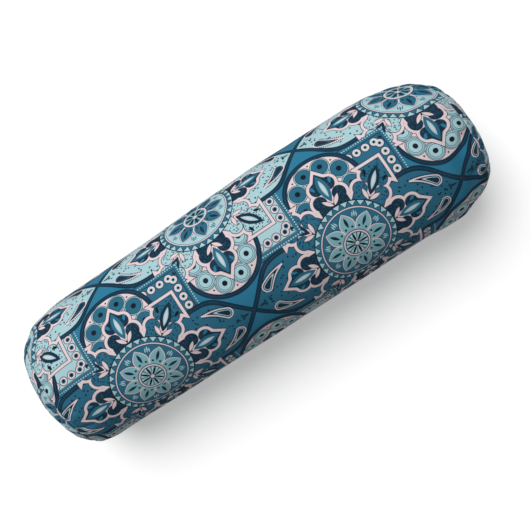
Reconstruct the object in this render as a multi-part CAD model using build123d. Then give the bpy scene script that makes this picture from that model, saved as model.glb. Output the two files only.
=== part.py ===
"""A round bolster pillow, lying on its side: a printed cover with a zip along its lower back, over a calico
liner that holds a foam core wrapped in wadding.

Millimetres. X runs along the bolster, +Z is up, and the origin is on the surface it rests on, under its
middle. The zip is on the +Y side, a little below the widest line. Every layer is the same shape, set in from
the cover's outer skin by its own distance, and each is cut flat underneath where the filling is pressed down.
"""

import math
import os

from build123d import *

# Driving dimensions of the filled cover.
RADIUS = 100.0  # outer radius of the round body
SAG = 5.0  # how far the underside is pressed in by its own weight
SEAM_X = 308.0  # from the middle to each end seam
SEAM_RADIUS = 87.0  # outer radius at each end seam
SHOULDER_LENGTH = 45.0  # along X, where the body turns in towards the end seam
DOME_RISE = 27.0  # how far an end panel swells past its seam

# Cloth and filling.
COVER_CLOTH = 1.0
SEAM_ALLOWANCE = 10.0  # the end panel's edge, turned in under the body panel
ALLOWANCE_SET_IN = 1.1  # from the cover's outer skin to the turned-in edge
ALLOWANCE_CLOTH = 0.9
THREAD = 0.5
THREAD_SET_IN = 2.1
THREAD_X = 303.0
LINER_SET_IN = 4.0
LINER_CLOTH = 0.6
LINER_SEAM_X = 300.0
WADDING_SET_IN = 4.8
WADDING_THICKNESS = 12.0
CORE_CLEARANCE = 0.2
CORE_HALF_LENGTH = 288.0
END_WADDING_CLEARANCE = 0.2

# The zip, a number 5 coil chain on woven tape.
ZIP_ANGLE = 108.0  # degrees from the top, towards +Y
ZIP_HALF_LENGTH = 242.0  # of the gap between the cover's two folded edges
ZIP_GAP = 10.0  # width of that gap
TAPE_HALF_LENGTH = 254.0
TAPE_OUTER_SET_IN = 1.15
TAPE_THICKNESS = 0.6
TAPE_INNER_EDGE = 0.9  # from the zip's centre line
TAPE_OUTER_EDGE = 15.0
COIL_WIDTH = 2.1
COIL_HALF_LENGTH = 237.5
COIL_STANDS_PROUD = 0.9
COIL_GAP = 0.05  # between the coil and the tape under it

# Slider and pull.
SLIDER_LENGTH = 11.0
SLIDER_WIDTH = 8.4
SLIDER_PLATE = 0.9
SLIDER_TOP = 1.9  # top of the upper plate, above the skin
SLIDER_BOTTOM = 3.0  # underside of the lower plate, below the skin
FLANGE_WIDTH = 0.8
SLIDER_POST_LENGTH = 3.0
SLIDER_POST_WIDTH = 1.4
BRIDGE_LENGTH = 7.6
BRIDGE_WIDTH = 1.4
BRIDGE_RISE = 2.3
BRIDGE_LEG = 1.1
BRIDGE_ROOF = 0.8
SLIDER_TO_STOP = 0.4
PULL_PIN_RADIUS = 0.5
PULL_THICKNESS = 1.0
PULL_EYE_WIDTH = 4.2
PULL_EYE_GAP = 1.8
PULL_EYE_REACH = 5.5
PULL_PLATE_LENGTH = 24.0
PULL_PLATE_WIDTH = 7.0
PULL_TIP_HOLE_RADIUS = 1.5
PULL_TIP_HOLE_FROM_END = 4.0

# Stops at the ends of the chain.
STOP_LENGTH = 2.6
STOP_PLATE = 0.6
STOP_OUTER_EDGE = 3.0

# Stitching and label.
STITCH_FROM_EDGE = 2.5
STITCH_WIDTH = 0.6
STITCH_HEIGHT = 0.3
STITCH_HALF_LENGTH = 248.0
LABEL_LENGTH = 42.0
LABEL_WIDTH = 28.0
LABEL_THICKNESS = 0.4
LABEL_SET_IN = 2.6
LABEL_X = -270.0
LABEL_ANGLE = 70.0

# Worked out from the above.
AXIS_HEIGHT = RADIUS - SAG
SHOULDER_X = SEAM_X - SHOULDER_LENGTH
SHOULDER_DROP = RADIUS - SEAM_RADIUS
SHOULDER_RADIUS = (SHOULDER_LENGTH**2 + SHOULDER_DROP**2) / (2 * SHOULDER_DROP)
DOME_RADIUS = (SEAM_RADIUS**2 + DOME_RISE**2) / (2 * DOME_RISE)
DOME_CENTRE_X = SEAM_X + DOME_RISE - DOME_RADIUS
BIG = 1000.0


def layer_corner(set_in):
    """Where a layer's shoulder meets its end dome, as x and radius: the upper crossing of the two circles."""
    shoulder_centre = Vector(SHOULDER_X, RADIUS - SHOULDER_RADIUS)
    dome_centre = Vector(DOME_CENTRE_X, 0)
    between = dome_centre - shoulder_centre
    shoulder = SHOULDER_RADIUS - set_in
    dome = DOME_RADIUS - set_in
    along = (between.length**2 + shoulder**2 - dome**2) / (2 * between.length)
    across = math.sqrt(shoulder**2 - along**2)
    ahead = between.normalized()
    corner = shoulder_centre + ahead * along + Vector(ahead.Y, -ahead.X) * across
    return corner.X, corner.Y


def half_profile(set_in):
    """Half outline of a layer above the axis: the straight body, the shoulder and the end dome."""
    corner_x, corner_radius = layer_corner(set_in)
    shoulder = SHOULDER_RADIUS - set_in
    dome = DOME_RADIUS - set_in
    shoulder_turn = math.asin((corner_x - SHOULDER_X) / shoulder) / 2
    dome_turn = math.asin(corner_radius / dome) / 2
    body_top = (SHOULDER_X, RADIUS - set_in)
    shoulder_middle = (
        SHOULDER_X + shoulder * math.sin(shoulder_turn),
        RADIUS - SHOULDER_RADIUS + shoulder * math.cos(shoulder_turn),
    )
    corner = (corner_x, corner_radius)
    dome_middle = (DOME_CENTRE_X + dome * math.cos(dome_turn), dome * math.sin(dome_turn))
    tip = (DOME_CENTRE_X + dome, 0)
    outline = Curve() + [
        Line((0, 0), (0, RADIUS - set_in)),
        Line((0, RADIUS - set_in), body_top),
        ThreePointArc(body_top, shoulder_middle, corner),
        ThreePointArc(corner, dome_middle, tip),
        Line(tip, (0, 0)),
    ]
    return make_face(outline)


def layer_solid(set_in):
    """A whole layer as a filled solid: turned about the axis, mirrored, and cut flat underneath."""
    half = revolve(half_profile(set_in), Axis.X, 360)
    both = half + mirror(half, about=Plane.YZ)
    raised = Pos(0, 0, AXIS_HEIGHT) * both
    return raised & Pos(0, 0, set_in + BIG / 2) * Box(BIG, BIG, BIG)


def skin(outer_set_in, inner_set_in):
    """The shell between two layers."""
    return layer_solid(outer_set_in) - layer_solid(inner_set_in)


def slab_between(low_x, high_x):
    """Everything between two planes across the bolster."""
    return Pos((low_x + high_x) / 2, 0, 0) * Box(high_x - low_x, BIG, BIG)


def end_side(x, side):
    """Everything past x at one end; side is -1 or 1."""
    return Pos(side * (x + BIG / 2), 0, 0) * Box(BIG, BIG, BIG)


def onto_zip(thing):
    """Moves a thing built on top of a cylinder about X, at its true radius, round to the zip's place."""
    return Pos(0, 0, AXIS_HEIGHT) * Rot(-ZIP_ANGLE, 0, 0) * thing


def block(low, high):
    """A box from its lowest to its highest corner."""
    size = [high[i] - low[i] for i in range(3)]
    centre = [(high[i] + low[i]) / 2 for i in range(3)]
    return Pos(*centre) * Box(*size)


def curved_strip(low_radius, high_radius, inner_edge, outer_edge, half_length, side):
    """A strip of a cylinder about X, beside the top line, from inner_edge to outer_edge round the skin."""
    ring = Rot(0, 90, 0) * (
        Cylinder(high_radius, 2 * half_length) - Cylinder(low_radius, 2 * half_length + 2)
    )
    low_y, high_y = sorted((side * inner_edge, side * outer_edge))
    return ring & block((-BIG, low_y, 0), (BIG, high_y, BIG))


def cover_body_panel():
    """The printed panel round the body, with the gap that the zip closes."""
    tube = skin(0, COVER_CLOTH) & slab_between(-SEAM_X, SEAM_X)
    gap = block(
        (-ZIP_HALF_LENGTH, -ZIP_GAP / 2, RADIUS / 2),
        (ZIP_HALF_LENGTH, ZIP_GAP / 2, RADIUS + SAG),
    )
    return tube - onto_zip(gap)


def cover_end_panel(side):
    """A round printed end panel, with its edge turned in under the body panel as seam allowance."""
    inner_set_in = ALLOWANCE_SET_IN + ALLOWANCE_CLOTH
    dome = skin(0, COVER_CLOTH) & slab_between(SEAM_X, BIG)
    fold = skin(0, inner_set_in) & slab_between(SEAM_X, SEAM_X + COVER_CLOTH)
    turned_in = skin(ALLOWANCE_SET_IN, inner_set_in) & slab_between(
        SEAM_X - SEAM_ALLOWANCE, SEAM_X + COVER_CLOTH / 2
    )
    panel = dome + fold + turned_in
    return panel if side > 0 else mirror(panel, about=Plane.YZ)


def end_seam_thread(side):
    """The line of stitching through the turned-in edge, as a ring of its outer size."""
    ring = skin(THREAD_SET_IN, THREAD_SET_IN + THREAD) & slab_between(THREAD_X, THREAD_X + THREAD)
    return ring if side > 0 else mirror(ring, about=Plane.YZ)


def liner_body_panel():
    """The calico tube inside the cover."""
    tube = skin(LINER_SET_IN, LINER_SET_IN + LINER_CLOTH)
    return tube & slab_between(-LINER_SEAM_X, LINER_SEAM_X)


def liner_end_panel(side):
    """A calico end panel of the liner."""
    bag = skin(LINER_SET_IN, LINER_SET_IN + LINER_CLOTH)
    return bag & end_side(LINER_SEAM_X, side)


def core_solid(clearance=0.0):
    """The foam core, a plain cylinder cut flat underneath, grown by a clearance."""
    radius = RADIUS - WADDING_SET_IN - WADDING_THICKNESS - CORE_CLEARANCE + clearance
    roller = Rot(0, 90, 0) * Cylinder(radius, 2 * (CORE_HALF_LENGTH + clearance))
    floor = WADDING_SET_IN + WADDING_THICKNESS + CORE_CLEARANCE - clearance
    return Pos(0, 0, AXIS_HEIGHT) * roller & Pos(0, 0, floor + BIG / 2) * Box(BIG, BIG, BIG)


def wadding_wrap():
    """The sheet of wadding rolled round the foam core."""
    filled = layer_solid(WADDING_SET_IN) & slab_between(-CORE_HALF_LENGTH, CORE_HALF_LENGTH)
    return filled - core_solid(CORE_CLEARANCE)


def end_wadding(side):
    """The domed pad of wadding over one end of the core."""
    return layer_solid(WADDING_SET_IN) & end_side(CORE_HALF_LENGTH + END_WADDING_CLEARANCE, side)


def zip_tape(side):
    """One woven tape, behind the cover's folded edge."""
    outer = RADIUS - TAPE_OUTER_SET_IN
    strip = curved_strip(
        outer - TAPE_THICKNESS, outer, TAPE_INNER_EDGE, TAPE_OUTER_EDGE, TAPE_HALF_LENGTH, side
    )
    return onto_zip(strip)


def zip_coil(side):
    """One half of the coil chain, as a bar of its outer size along the tape's inner edge."""
    low_y, high_y = sorted((side * TAPE_INNER_EDGE, side * (TAPE_INNER_EDGE + COIL_WIDTH)))
    bar = block(
        (-COIL_HALF_LENGTH, low_y, RADIUS - TAPE_OUTER_SET_IN + COIL_GAP),
        (COIL_HALF_LENGTH, high_y, RADIUS + COIL_STANDS_PROUD),
    )
    return onto_zip(fillet(bar.edges().filter_by(Axis.X).group_by(Axis.Z)[-1], COIL_WIDTH / 3))


def stop_clip(x, inner_edge, web_width, side):
    """A crimped clip round one tape's inner edge, with its web in the gap between the tapes."""
    top = RADIUS + COIL_STANDS_PROUD
    bottom = RADIUS - TAPE_OUTER_SET_IN - TAPE_THICKNESS - 0.15 - STOP_PLATE
    outer = STOP_OUTER_EDGE
    low_y, high_y = sorted((side * inner_edge, side * outer))
    upper = block((x, low_y, RADIUS - TAPE_OUTER_SET_IN + COIL_GAP), (x + STOP_LENGTH, high_y, top))
    lower = block((x, low_y, bottom), (x + STOP_LENGTH, high_y, bottom + STOP_PLATE))
    web_low, web_high = sorted((side * inner_edge, side * (inner_edge + web_width)))
    web = block((x, web_low, bottom), (x + STOP_LENGTH, web_high, top))
    return upper + lower + web


def zip_top_stops():
    """Two clips, one on each tape, where the slider stops when the zip is shut."""
    x = COIL_HALF_LENGTH + 0.5
    clips = [stop_clip(x, 0.2, 0.6, side) for side in (-1, 1)]
    return onto_zip(Compound(children=clips))


def zip_bottom_stop():
    """One clip across both tapes, where the slider stops when the zip is open."""
    x = -COIL_HALF_LENGTH - 0.5 - STOP_LENGTH
    return onto_zip(stop_clip(x, 0.0, 0.8, -1) + stop_clip(x, 0.0, 0.8, 1))


def slider_centre_x():
    """Where the slider's middle is when the zip is shut."""
    return COIL_HALF_LENGTH + 0.5 - SLIDER_TO_STOP - SLIDER_LENGTH / 2


def pull_axis_radius():
    """Distance of the pull's hinge axis from the bolster's axis."""
    return RADIUS + SLIDER_TOP + PULL_PIN_RADIUS + 0.15


def zip_slider_body():
    """The slider: two plates with side flanges, joined by the post at its nose, and the bridge on top."""
    x = slider_centre_x()
    half, wide = SLIDER_LENGTH / 2, SLIDER_WIDTH / 2
    top, bottom = RADIUS + SLIDER_TOP, RADIUS - SLIDER_BOTTOM
    upper = block((x - half, -wide, top - SLIDER_PLATE), (x + half, wide, top))
    lower = block((x - half, -wide, bottom), (x + half, wide, bottom + SLIDER_PLATE))
    upper = fillet(upper.edges().filter_by(Axis.Z), 2.0)
    lower = fillet(lower.edges().filter_by(Axis.Z), 2.0)
    body = upper + lower
    for side in (-1, 1):
        low_y, high_y = sorted((side * (wide - FLANGE_WIDTH), side * wide))
        body += block(
            (x - half + 2, low_y, RADIUS - TAPE_OUTER_SET_IN + 0.2),
            (x + half - 2, high_y, top - SLIDER_PLATE / 2),
        )
    post_x = x + half - SLIDER_POST_LENGTH
    body += block(
        (post_x, -SLIDER_POST_WIDTH / 2, bottom),
        (post_x + SLIDER_POST_LENGTH - 0.5, SLIDER_POST_WIDTH / 2, top),
    )
    bridge = block(
        (x - BRIDGE_LENGTH / 2, -BRIDGE_WIDTH / 2, top - 0.1),
        (x + BRIDGE_LENGTH / 2, BRIDGE_WIDTH / 2, top + BRIDGE_RISE),
    )
    bridge = fillet(bridge.edges().filter_by(Axis.Y).group_by(Axis.Z)[-1], 1.4)
    opening = block(
        (x - BRIDGE_LENGTH / 2 + BRIDGE_LEG, -BRIDGE_WIDTH, top),
        (x + BRIDGE_LENGTH / 2 - BRIDGE_LEG, BRIDGE_WIDTH, top + BRIDGE_RISE - BRIDGE_ROOF),
    )
    return onto_zip(body + (bridge - opening))


def zip_pull():
    """The pull: a round pin under the bridge, two arms round it, and a flat tongue lying along the chain."""
    x, z = slider_centre_x(), pull_axis_radius()
    pin = Pos(x, 0, z) * Rot(90, 0, 0) * Cylinder(PULL_PIN_RADIUS, PULL_EYE_WIDTH)
    pull = pin
    for side in (-1, 1):
        low_y, high_y = sorted((side * PULL_EYE_GAP / 2, side * PULL_EYE_WIDTH / 2))
        pull += block(
            (x - PULL_EYE_REACH - 1, low_y, z - PULL_PIN_RADIUS),
            (x, high_y, z + PULL_PIN_RADIUS),
        )
    tongue = block(
        (x - PULL_EYE_REACH - PULL_PLATE_LENGTH, -PULL_PLATE_WIDTH / 2, z - PULL_THICKNESS / 2),
        (x - PULL_EYE_REACH, PULL_PLATE_WIDTH / 2, z + PULL_THICKNESS / 2),
    )
    tongue = fillet(tongue.edges().filter_by(Axis.Z), 2.2)
    hole_x = x - PULL_EYE_REACH - PULL_PLATE_LENGTH + PULL_TIP_HOLE_FROM_END
    tongue -= Pos(hole_x, 0, z) * Cylinder(PULL_TIP_HOLE_RADIUS, 3 * PULL_THICKNESS)
    return onto_zip(pull + tongue)


def zip_topstitch(side):
    """One row of stitching through the folded edge and the tape, as a strip of its outer size."""
    line_y = ZIP_GAP / 2 + STITCH_FROM_EDGE
    strip = curved_strip(
        RADIUS,
        RADIUS + STITCH_HEIGHT,
        line_y - STITCH_WIDTH / 2,
        line_y + STITCH_WIDTH / 2,
        STITCH_HALF_LENGTH,
        side,
    )
    return onto_zip(strip)


def care_label():
    """A blank woven label, lying flat between the cover and the liner beside the end of the zip."""
    outer = RADIUS - LABEL_SET_IN
    strip = curved_strip(outer - LABEL_THICKNESS, outer, 0, LABEL_WIDTH, LABEL_LENGTH / 2, 1)
    placed = Pos(0, 0, AXIS_HEIGHT) * Rot(-LABEL_ANGLE, 0, 0) * strip
    return Pos(LABEL_X + LABEL_LENGTH / 2, 0, 0) * placed


def main():
    os.makedirs("parts", exist_ok=True)
    nodes = {
        "cover_body_panel": cover_body_panel(),
        "cover_end_panel_left": cover_end_panel(-1),
        "cover_end_panel_right": cover_end_panel(1),
        "zip_tape_upper": zip_tape(-1),
        "zip_tape_lower": zip_tape(1),
        "zip_coil_upper": zip_coil(-1),
        "zip_coil_lower": zip_coil(1),
        "zip_topstitch_upper": zip_topstitch(-1),
        "zip_topstitch_lower": zip_topstitch(1),
        "zip_top_stops": zip_top_stops(),
        "zip_bottom_stop": zip_bottom_stop(),
        "zip_slider_body": zip_slider_body(),
        "zip_pull": zip_pull(),
        "end_seam_thread_left": end_seam_thread(-1),
        "end_seam_thread_right": end_seam_thread(1),
        "care_label": care_label(),
        "liner_body_panel": liner_body_panel(),
        "liner_end_panel_left": liner_end_panel(-1),
        "liner_end_panel_right": liner_end_panel(1),
        "wadding_wrap": wadding_wrap(),
        "end_wadding_left": end_wadding(-1),
        "end_wadding_right": end_wadding(1),
        "foam_core": core_solid(),
    }
    for name, shape in nodes.items():
        export_step(shape, f"parts/{name}.step")


main()
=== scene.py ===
import math
from functools import reduce

import bmesh
import bpy
from mathutils import Matrix, Vector, noise
from mathutils.bvhtree import BVHTree


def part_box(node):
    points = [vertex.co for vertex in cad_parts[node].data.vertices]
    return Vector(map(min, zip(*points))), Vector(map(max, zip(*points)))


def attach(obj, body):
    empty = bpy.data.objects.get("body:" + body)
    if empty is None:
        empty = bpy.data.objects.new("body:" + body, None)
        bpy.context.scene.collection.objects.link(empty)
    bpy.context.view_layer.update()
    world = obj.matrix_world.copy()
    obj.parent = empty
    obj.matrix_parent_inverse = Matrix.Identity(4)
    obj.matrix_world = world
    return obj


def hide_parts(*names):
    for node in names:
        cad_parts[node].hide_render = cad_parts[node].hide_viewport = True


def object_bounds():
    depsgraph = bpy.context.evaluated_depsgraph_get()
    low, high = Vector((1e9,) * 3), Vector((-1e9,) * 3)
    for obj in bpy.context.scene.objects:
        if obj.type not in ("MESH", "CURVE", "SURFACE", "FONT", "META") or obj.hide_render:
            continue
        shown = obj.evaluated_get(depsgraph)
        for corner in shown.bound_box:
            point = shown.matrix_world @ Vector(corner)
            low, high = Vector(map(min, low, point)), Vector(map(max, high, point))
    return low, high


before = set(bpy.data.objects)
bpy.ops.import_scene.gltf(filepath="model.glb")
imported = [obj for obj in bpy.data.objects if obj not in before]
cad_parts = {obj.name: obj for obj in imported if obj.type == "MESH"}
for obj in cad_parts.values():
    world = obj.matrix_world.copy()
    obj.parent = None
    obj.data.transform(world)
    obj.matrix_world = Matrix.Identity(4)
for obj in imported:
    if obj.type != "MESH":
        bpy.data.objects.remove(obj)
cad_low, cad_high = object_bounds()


# ---- View and light ----
# The bolster lies on a pale studio floor and is seen from straight above, turned so that it lies across
# the frame. A large soft box hangs over its zip side, and the floor throws some of the light back.

VIEW_TURN = math.radians(33.4)  # from the frame's level line up to the bolster's axis
VIEW_DISTANCE = 1.067  # from the lens to the bolster's axis
VIEW_CENTRE = (0.0145, -0.0078)  # where the lens points, right of and above the bolster's middle
VIEW_LENS = 53.9  # focal length in millimetres, on a 36 mm frame

body_low, body_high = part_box("cover_body_panel")
RADIUS = (body_high.y - body_low.y) / 2
AXIS_HEIGHT = body_high.z - RADIUS
SEAM_X = body_high.x
TIP_X = cad_high.x

right = Vector((math.cos(VIEW_TURN), -math.sin(VIEW_TURN), 0))
up = Vector((math.sin(VIEW_TURN), math.cos(VIEW_TURN), 0))
camera = bpy.data.objects.new("camera", bpy.data.cameras.new("camera"))
camera.data.sensor_width = 36
camera.data.lens = VIEW_LENS
camera.location = right * VIEW_CENTRE[0] + up * VIEW_CENTRE[1] + Vector((0, 0, AXIS_HEIGHT + VIEW_DISTANCE))
camera.rotation_euler = (0, 0, -VIEW_TURN)
bpy.context.collection.objects.link(camera)
bpy.context.scene.camera = camera
bpy.context.scene.view_settings.view_transform = "Standard"

KEY_FROM = (-0.18, 0.47, 0.86)  # towards the middle of the soft box
KEY_STRENGTH = 3.45
KEY_SPREAD = math.radians(38)  # how large the soft box looks from the bolster

key = bpy.data.lights.new("key_light", "SUN")
key.energy = KEY_STRENGTH
key.angle = KEY_SPREAD
key_light = bpy.data.objects.new("key_light", key)
key_light.rotation_euler = Vector(KEY_FROM).to_track_quat("Z", "Y").to_euler()
bpy.context.collection.objects.link(key_light)

ROOM_LIGHT = 0.15  # what the white room throws back on the bolster
BACKDROP = 1.0  # how bright the room's own white looks
FLOOR_GREY = 0.62
FLOOR_GLOW = 0.36  # the floor is a lit white table


def for_camera(tree, otherwise, to_camera):
    """A value that the camera meets as one thing and all other light as another."""
    path = tree.nodes.new("ShaderNodeLightPath")
    value = tree.nodes.new("ShaderNodeMapRange")
    value.inputs["To Min"].default_value = otherwise
    value.inputs["To Max"].default_value = to_camera
    tree.links.new(path.outputs["Is Camera Ray"], value.inputs["Value"])
    return value.outputs[0]


world = bpy.data.worlds.new("studio")
world.use_nodes = True
room = world.node_tree.nodes["Background"]
room.inputs["Color"].default_value = (1, 1, 1, 1)
world.node_tree.links.new(for_camera(world.node_tree, ROOM_LIGHT, BACKDROP), room.inputs["Strength"])
bpy.context.scene.world = world

floor_form = bmesh.new()
bmesh.ops.create_grid(floor_form, x_segments=1, y_segments=1, size=6)
floor_mesh = bpy.data.meshes.new("floor")
floor_form.to_mesh(floor_mesh)
floor_form.free()
floor = bpy.data.objects.new("floor", floor_mesh)
bpy.context.collection.objects.link(floor)

floor_finish = bpy.data.materials.new("floor")
floor_finish.use_nodes = True
floor_shader = floor_finish.node_tree.nodes["Principled BSDF"]
floor_shader.inputs["Base Color"].default_value = (FLOOR_GREY, FLOOR_GREY, FLOOR_GREY, 1)
floor_shader.inputs["Roughness"].default_value = 0.9
floor_shader.inputs["Emission Color"].default_value = (1, 1, 1, 1)
floor_glow = for_camera(floor_finish.node_tree, 0, FLOOR_GLOW)
floor_finish.node_tree.links.new(floor_glow, floor_shader.inputs["Emission Strength"])
floor_mesh.materials.append(floor_finish)


# ---- Cover: how its cloth sits ----
# The cover is a tube of printed cotton with a round panel sewn into each end, filled tight. The cloth is
# settled by simulation: the filling blows it out, and the end seams, drawn up by their thread, pucker it.

AROUND = 126  # columns round the tube, two of which are the zip's gap
COLUMN = 2 * math.pi / AROUND
SHOULDER_LENGTH = 0.045  # where the tube turns in towards an end seam
SHOULDER_DROP = 0.013
SHOULDER_X = SEAM_X - SHOULDER_LENGTH
SHOULDER_ROUND = (SHOULDER_LENGTH**2 + SHOULDER_DROP**2) / (2 * SHOULDER_DROP)
SEAM_RADIUS = RADIUS - SHOULDER_DROP
DOME_ROUND = (SEAM_RADIUS**2 + (TIP_X - SEAM_X) ** 2) / (2 * (TIP_X - SEAM_X))
ZIP_ANGLE = math.radians(108)  # from the top line, towards +Y
ZIP_GAP_END = 0.242
SEAM_LUMPS = 0.0022  # small lumps in the cloth, near the end seams
CLOTH_LUMPS = 0.0008  # and everywhere

SIM_FRAMES = 24
FILLING_PRESSURE = 120
SEAM_DRAWN_UP = 0.05  # how much shorter the seam's thread is than the cloth it gathers
CLOTH_EASED_IN = 0.07  # spare cloth beside the seam
MOST_OUT = 0.006
MOST_IN = 0.0045


def turn_of(point):
    """Angle round the bolster from its top line, towards +Y, for a point about the bolster's own axis."""
    return math.atan2(point.y, point.z)


def fade(value, low, high):
    """0 below low, 1 above high, and smooth between."""
    t = min(1, max(0, (value - low) / (high - low)))
    return t * t * (3 - 2 * t)


def arc_points(centre_x, centre_out, radius, first, last, count):
    """Points on an arc, as x and distance from the axis, for angles from the axis's own direction."""
    turns = [first + (last - first) * i / count for i in range(1, count + 1)]
    return [(centre_x + radius * math.cos(t), centre_out + radius * math.sin(t)) for t in turns]


def draw_profile(form, points):
    """Draws a line through points given as x and distance from the axis."""
    row = [form.verts.new((x, 0, out)) for x, out in points]
    for a, b in zip(row, row[1:]):
        form.edges.new((a, b))
    return row


def spin_round(form, steps):
    """Spins a profile right round the line that x runs along, and closes it."""
    bmesh.ops.spin(
        form,
        geom=form.verts[:] + form.edges[:],
        axis=(1, 0, 0),
        cent=(0, 0, 0),
        steps=steps,
        angle=2 * math.pi,
        use_merge=True,
    )
    bmesh.ops.remove_doubles(form, verts=form.verts, dist=1e-5)


half = [(0, RADIUS)]
half += [(ZIP_GAP_END * i / 32, RADIUS) for i in range(1, 33)]
half += [(ZIP_GAP_END + (SHOULDER_X - ZIP_GAP_END) * i / 4, RADIUS) for i in range(1, 5)]
shoulder_end = math.acos(SHOULDER_LENGTH / SHOULDER_ROUND)
half += arc_points(SHOULDER_X, RADIUS - SHOULDER_ROUND, SHOULDER_ROUND, math.pi / 2, shoulder_end, 10)
half += arc_points(TIP_X - DOME_ROUND, 0, DOME_ROUND, math.asin(SEAM_RADIUS / DOME_ROUND), 0, 19)

form = bmesh.new()
draw_profile(form, [(-x, out) for x, out in reversed(half[1:])] + half)
spin_round(form, AROUND)
bmesh.ops.recalc_face_normals(form, faces=form.faces)
bmesh.ops.rotate(form, verts=form.verts, cent=(0, 0, 0), matrix=Matrix.Rotation(-ZIP_ANGLE, 3, "X"))

# Which panel each face belongs to, and where it lies on the flat cloth, in metres. On the tube the cloth runs
# along the bolster and round it, and it was cut along the zip's line. An end panel was cut from a flat disc.
panel_of = form.faces.layers.int.new("panel")
gap_of = form.faces.layers.int.new("zip_gap")
cloth_map = form.loops.layers.uv.new("cloth")
for face in form.faces:
    middle = face.calc_center_median()
    turn = turn_of(middle)
    if turn > ZIP_ANGLE:
        turn -= 2 * math.pi
    on_tube = abs(middle.x) < SEAM_X
    from_zip = min(ZIP_ANGLE - turn, turn - ZIP_ANGLE + 2 * math.pi)
    face[panel_of] = 0 if on_tube else int(math.copysign(1, middle.x))
    face[gap_of] = int(on_tube and abs(middle.x) < ZIP_GAP_END and from_zip < COLUMN)
    for loop in face.loops:
        point = loop.vert.co
        if on_tube:
            past = max(0, abs(point.x) - SHOULDER_X)
            along = min(abs(point.x), SHOULDER_X) + SHOULDER_ROUND * math.asin(past / SHOULDER_ROUND)
            here = turn_of(point)
            here += 2 * math.pi * round((turn - here) / (2 * math.pi))
            loop[cloth_map].uv = (math.copysign(along, point.x), RADIUS * here)
        else:
            out = max(math.hypot(point.y, point.z), 1e-6)
            flat = DOME_ROUND * math.asin(min(1, out / DOME_ROUND)) / out
            loop[cloth_map].uv = (point.y * flat, point.z * flat)

# Cloth is never quite even, and the small lumps give the puckers somewhere to start.
for vert in form.verts:
    near_seam = math.exp(-(((abs(vert.co.x) - SEAM_X) / 0.03) ** 2))
    lump = SEAM_LUMPS * near_seam * noise.noise(vert.co * 38) + CLOTH_LUMPS * noise.noise(vert.co * 9)
    vert.co += vert.normal * lump
bmesh.ops.translate(form, verts=form.verts, vec=(0, 0, AXIS_HEIGHT))
form.normal_update()
sewn = [(vert.co.copy(), vert.normal.copy()) for vert in form.verts]
sewn_mesh = bpy.data.meshes.new("sewn_cover")
form.to_mesh(sewn_mesh)
form.free()
sewn_cover = bpy.data.objects.new("sewn_cover", sewn_mesh)
bpy.context.collection.objects.link(sewn_cover)

tightness = sewn_cover.vertex_groups.new(name="tightness")
for i, (place, _) in enumerate(sewn):
    from_seam = abs(abs(place.x) - SEAM_X)
    eased = CLOTH_EASED_IN * math.exp(-(((from_seam - 0.012) / 0.012) ** 2))
    at_rim = math.hypot(place.y, place.z - AXIS_HEIGHT) > SEAM_RADIUS - 0.008
    drawn = SEAM_DRAWN_UP * math.exp(-((from_seam / 0.004) ** 2)) * at_rim
    tightness.add([i], 0.5 + 5 * (drawn - eased), "REPLACE")

filling = sewn_cover.modifiers.new("filling", "CLOTH")
for label, value in {
    "quality": 6,
    "mass": 0.3,
    "tension_stiffness": 80,
    "compression_stiffness": 20,
    "shear_stiffness": 10,
    "bending_stiffness": 0.6,
    "tension_damping": 12,
    "compression_damping": 12,
    "use_pressure": True,
    "uniform_pressure_force": FILLING_PRESSURE,
    "shrink_min": -0.1,
    "shrink_max": 0.1,
}.items():
    setattr(filling.settings, label, value)
filling.settings.vertex_group_shrink = "tightness"
filling.settings.effector_weights.gravity = 0
filling.collision_settings.use_collision = False
filling.collision_settings.use_self_collision = False
filling.point_cache.frame_end = SIM_FRAMES
for step in range(1, SIM_FRAMES + 1):
    bpy.context.scene.frame_set(step)
evaluated = sewn_cover.evaluated_get(bpy.context.evaluated_depsgraph_get())
cover_form = bmesh.new()
cover_form.from_mesh(evaluated.to_mesh())
evaluated.to_mesh_clear()
bpy.data.objects.remove(sewn_cover)
bpy.data.meshes.remove(sewn_mesh)
bpy.context.scene.frame_set(1)

# The filling stops the cloth from sinking in. The bolster is stuffed a little unevenly, the stiff zip holds the
# cloth beside it straight, its seam is drawn in beyond the zip, and the underside is pressed flat.
FLAT_ROUNDING = 0.003
LONG_SEAM_DEPTH = 0.0014
LONG_SEAM_WIDTH = 0.002
HELD_BESIDE = (0.012, 0.045)  # how far round from the zip the cloth is held, and where it is free again
HELD_ALONG = (0.252, 0.28)  # and the same along the bolster
SWELL_LEFT = 0.85  # how far each end swells, as a share of what its panel allows
SWELL_RIGHT = 0.72
RIGHT_SEAM_OUT = 0.0075  # how much further out the right end's seam sits than the left one's
RIGHT_SEAM_FROM = 0.25
STUFFING = (  # along the bolster: its girth as a share of even stuffing, and how far its middle wanders in y
    (-0.314, 0.970, -0.0042),
    (-0.288, 0.955, -0.0024),
    (-0.262, 0.957, -0.0007),
    (-0.131, 0.983, 0.0000),
    (0.000, 1.012, 0.0010),
    (0.065, 1.023, 0.0012),
    (0.131, 1.023, 0.0006),
    (0.209, 1.020, -0.0005),
    (0.236, 1.023, -0.0032),
    (0.262, 1.000, -0.0060),
    (0.288, 0.950, -0.0053),
    (0.314, 0.930, -0.0080),
)


def stuffing_at(x):
    """Girth and wander at a place along the bolster."""
    x = min(STUFFING[-1][0], max(STUFFING[0][0], x))
    for (x0, girth0, wander0), (x1, girth1, wander1) in zip(STUFFING, STUFFING[1:]):
        if x <= x1:
            t = fade(x, x0, x1)
            return girth0 + (girth1 - girth0) * t, wander0 + (wander1 - wander0) * t
    return STUFFING[-1][1:]


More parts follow.
